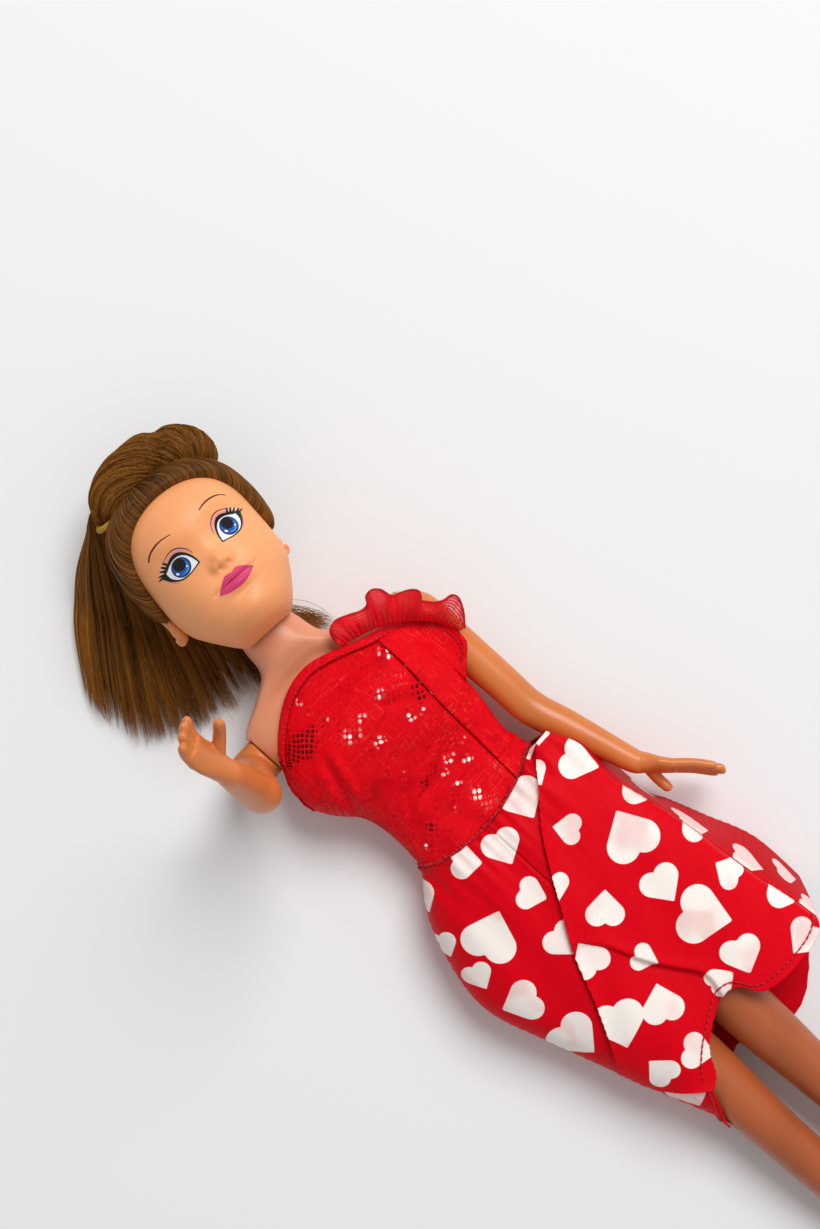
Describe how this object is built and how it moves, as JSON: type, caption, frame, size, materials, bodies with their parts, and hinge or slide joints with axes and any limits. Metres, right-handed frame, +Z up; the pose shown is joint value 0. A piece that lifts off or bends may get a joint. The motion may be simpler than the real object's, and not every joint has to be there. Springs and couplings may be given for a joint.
{
  "type": "fashion doll",
  "caption": "Jointed fashion doll with rooted hair in a bun, one arm raised, in a one-shouldered red dress with a skirt of scattered hearts, lying on its back",
  "frame": {"origin": "On the floor, on the flat outer face of the dress's back placket, under the middle of the waist", "axes": "+X to the doll's left, +Y from the waist to the head, +Z up from the floor, the way that the face looks"},
  "size_m": [0.0939, 0.314, 0.092],
  "materials": {
    "body_plastic": "smooth moulded, satin",
    "head_vinyl": "soft vinyl, matt",
    "limb_plastic": "smooth moulded, satin",
    "plug_plastic": "natural moulded",
    "hair_fibre": "brown rooted fibre",
    "elastic": "matt elastic",
    "bodice_knit": "red net knit with glitter dots",
    "skirt_satin": "red satin with scattered hearts",
    "ruffle_net": "sheer net",
    "closure_tape": "hook and loop pile"
  },
  "bodies": {
    "torso": {"torso_front": "body_plastic", "torso_back": "body_plastic", "neck_knob": "plug_plastic", "bodice_front": "bodice_knit", "bodice_side": "bodice_knit", "bodice_back_left": "bodice_knit", "bodice_back_right": "bodice_knit", "hook_tape": "closure_tape", "loop_tape": "closure_tape", "neckline_hem": "bodice_knit", "shoulder_ruffle": "ruffle_net", "waist_seam": "bodice_knit"},
    "head": {"head_shell": "head_vinyl", "scalp_hair": "hair_fibre", "hair_bun": "hair_fibre", "hair_band": "elastic", "ponytail": "hair_fibre"},
    "arm_left": {"arm_left": "limb_plastic", "shoulder_plug_left": "plug_plastic"},
    "arm_right": {"arm_right": "limb_plastic", "shoulder_plug_right": "plug_plastic"},
    "leg_left": {"leg_left": "limb_plastic", "hip_plug_left": "plug_plastic", "skirt_left": "skirt_satin"},
    "leg_right": {"leg_right": "limb_plastic", "hip_plug_right": "plug_plastic", "skirt_right": "skirt_satin"}
  },
  "joints": [
    {"name": "neck_turn", "type": "hinge", "parent": "torso", "child": "head", "pos_m": [-0.001, 0.067, 0.015], "axis": [0, 1, 0], "range_deg": [-95, 40], "deforming": ["ponytail"]},
    {"name": "shoulder_left", "type": "hinge", "parent": "torso", "child": "arm_left", "pos_m": [0.0219, 0.0468, 0.012], "axis": [-1, 0, 0], "range_deg": [-45, 180], "deforming": ["shoulder_ruffle"]},
    {"name": "shoulder_right", "type": "hinge", "parent": "torso", "child": "arm_right", "pos_m": [-0.0239, 0.0468, 0.012], "axis": [-1, 0, 0], "range_deg": [-80, 92]},
    {"name": "hip_left", "type": "hinge", "parent": "torso", "child": "leg_left", "pos_m": [0.004, -0.028, 0.012], "axis": [-1, 0, 0], "range_deg": [-15, 90], "deforming": ["skirt_left"]},
    {"name": "hip_right", "type": "hinge", "parent": "torso", "child": "leg_right", "pos_m": [-0.004, -0.028, 0.012], "axis": [-1, 0, 0], "range_deg": [-15, 90], "deforming": ["skirt_right"]}
  ]
}
